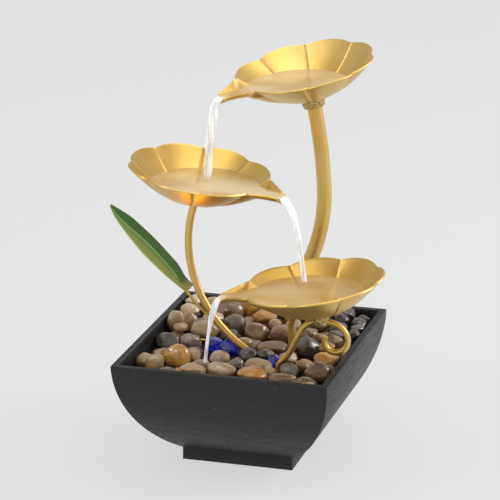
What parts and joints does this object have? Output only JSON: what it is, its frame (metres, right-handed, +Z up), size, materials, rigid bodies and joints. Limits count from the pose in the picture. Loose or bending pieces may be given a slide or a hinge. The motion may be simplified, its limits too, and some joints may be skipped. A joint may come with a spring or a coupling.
{
  "type": "tabletop water fountain",
  "caption": "Square black basin of wet pebbles with a gold tree of lotus-leaf dishes that spill water from one to the next, fed by a small pump.",
  "frame": {"origin": "centre of the basin's foot on the resting surface", "axes": "+Z up, +Y to the back, +X to the right seen from the front"},
  "size_m": [0.1925, 0.1724, 0.2634],
  "materials": {
    "black_resin": "matte, brushed slate texture",
    "black_plastic": "matte",
    "black_rubber": "matte",
    "gold_paint": "satin champagne gold",
    "solder": "rough",
    "green_leaf": "gloss enamel, two greens",
    "clear_vinyl": "clear",
    "grey_plastic": "matte",
    "rotor": "moulded",
    "steel": "polished",
    "lamp_lens": "clear, warm",
    "stones_tan": "wet natural stone",
    "stones_brown": "wet natural stone",
    "stones_grey": "wet natural stone",
    "stones_amber": "wet natural stone",
    "stones_dark": "wet natural stone",
    "stones_pale": "wet natural stone",
    "stones_blue_glass": "tumbled glass"
  },
  "bodies": {
    "fountain": {"basin": "black_resin", "cord_grommet": "black_rubber", "foot_pads": "black_rubber", "stone_tray": "black_plastic", "leaf_top": "gold_paint", "leaf_middle": "gold_paint", "leaf_bottom": "gold_paint", "tube_top": "gold_paint", "rod_middle": "gold_paint", "leg_left": "gold_paint", "leg_back": "gold_paint", "leg_curl": "gold_paint", "collar_top": "solder", "collar_middle": "solder", "collar_bottom": "solder", "brace": "gold_paint", "green_leaf": "green_leaf", "green_leaf_wire": "gold_paint", "hose": "clear_vinyl", "pump_housing": "black_plastic", "pump_shaft": "steel", "pump_cups": "black_rubber", "pump_gland": "black_rubber", "lamp_housing": "black_plastic", "lamp_lens": "lamp_lens", "lamp_lead": "black_rubber", "stones_tan": "stones_tan", "stones_brown": "stones_brown", "stones_grey": "stones_grey", "stones_amber": "stones_amber", "stones_dark": "stones_dark", "stones_pale": "stones_pale", "stones_blue_glass": "stones_blue_glass"},
    "rotor": {"pump_rotor": "rotor"},
    "cover": {"pump_cover": "black_plastic"},
    "dial": {"flow_dial": "grey_plastic"}
  },
  "joints": [
    {"name": "rotor_spin", "type": "hinge", "parent": "fountain", "child": "rotor", "pos_m": [0.01317, -0.008, 0.031], "axis": [1, 0, 0], "continuous": true},
    {"name": "cover_pull", "type": "slide", "parent": "fountain", "child": "cover", "axis": [1, 0, 0], "range_m": [0, 0.006]},
    {"name": "dial_turn", "type": "hinge", "parent": "cover", "child": "dial", "pos_m": [0.01317, -0.008, 0.031], "axis": [1, 0, 0], "range_deg": [0, 60]}
  ]
}
